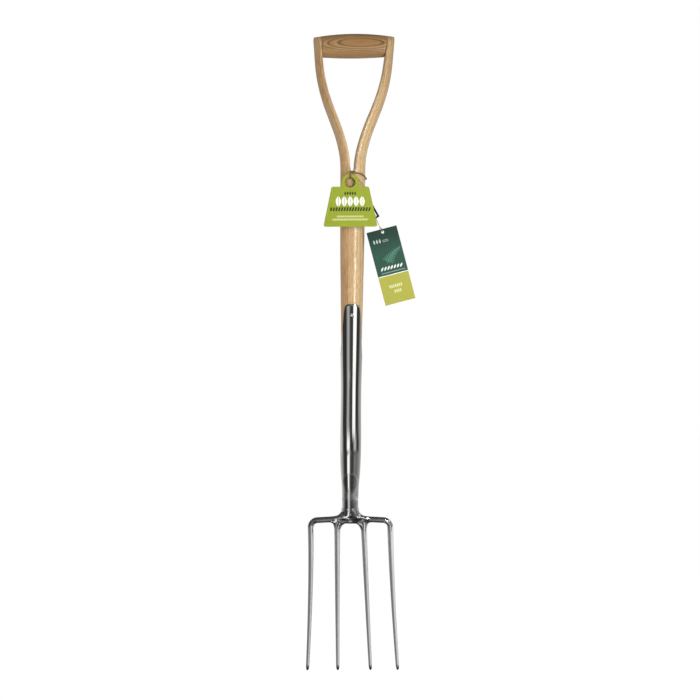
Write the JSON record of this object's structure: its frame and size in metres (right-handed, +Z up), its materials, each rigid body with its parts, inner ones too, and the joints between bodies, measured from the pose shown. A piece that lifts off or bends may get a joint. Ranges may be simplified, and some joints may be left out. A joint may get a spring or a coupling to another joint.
{
  "type": "border fork",
  "caption": "Garden border fork with a split wishbone ash handle, barrel hand grip, long strapped steel socket, crown with round tapering tines, and hang tags on a cord",
  "frame": {"origin": "The middle of the hand grip's underside, where the fork hangs on a hook", "axes": "+Z runs up the handle's axis, the front with the tags faces -Y, +X is to the right seen from the front"},
  "size_m": [0.1607, 0.0712, 0.9519],
  "materials": {
    "ash": "oiled ash with fine straight grain",
    "grip_ash": "oiled turned ash, a little darker than the arms",
    "fastener_steel": "plain steel",
    "polished_steel": "mirror polished stainless steel",
    "satin_steel": "satin polished stainless steel",
    "lime_card": "matt printed card",
    "white_label": "matt white label with a black border",
    "green_card": "matt printed card, dark green over lime",
    "hemp_cord": "twisted brown cord",
    "cotton_thread": "twisted pale thread"
  },
  "bodies": {
    "fork": {"wishbone_shaft": "ash", "hand_grip": "grip_ash", "grip_pin": "fastener_steel", "pin_rove_left": "fastener_steel", "pin_rove_right": "fastener_steel", "socket": "polished_steel", "crown": "polished_steel", "tine_outer_left": "satin_steel", "tine_inner_left": "satin_steel", "tine_inner_right": "satin_steel", "tine_outer_right": "satin_steel", "front_screw": "fastener_steel", "rear_screw": "fastener_steel", "throat_cord": "hemp_cord", "cord_knot": "hemp_cord", "cord_bight": "hemp_cord", "label_thread": "cotton_thread", "label_knot": "cotton_thread", "tag_thread": "cotton_thread", "thread_knot": "cotton_thread"},
    "weight_tag": {"weight_tag": "lime_card"},
    "small_label": {"small_label": "white_label"},
    "swing_tag": {"swing_tag": "green_card", "tag_loop": "cotton_thread"}
  },
  "joints": [
    {"name": "weight_tag_swing", "type": "hinge", "parent": "fork", "child": "weight_tag", "pos_m": [-0.0046, -0.02325, -0.18105], "axis": [0, 1, 0], "range_deg": [-35, 35]},
    {"name": "small_label_swing", "type": "hinge", "parent": "fork", "child": "small_label", "pos_m": [0.0108, -0.0206, -0.2027], "axis": [0, 1, 0], "range_deg": [-30, 75]},
    {"name": "swing_tag_swing", "type": "hinge", "parent": "fork", "child": "swing_tag", "pos_m": [0.0406, -0.0212, -0.2545], "axis": [0, 1, 0], "range_deg": [-60, 60]}
  ]
}
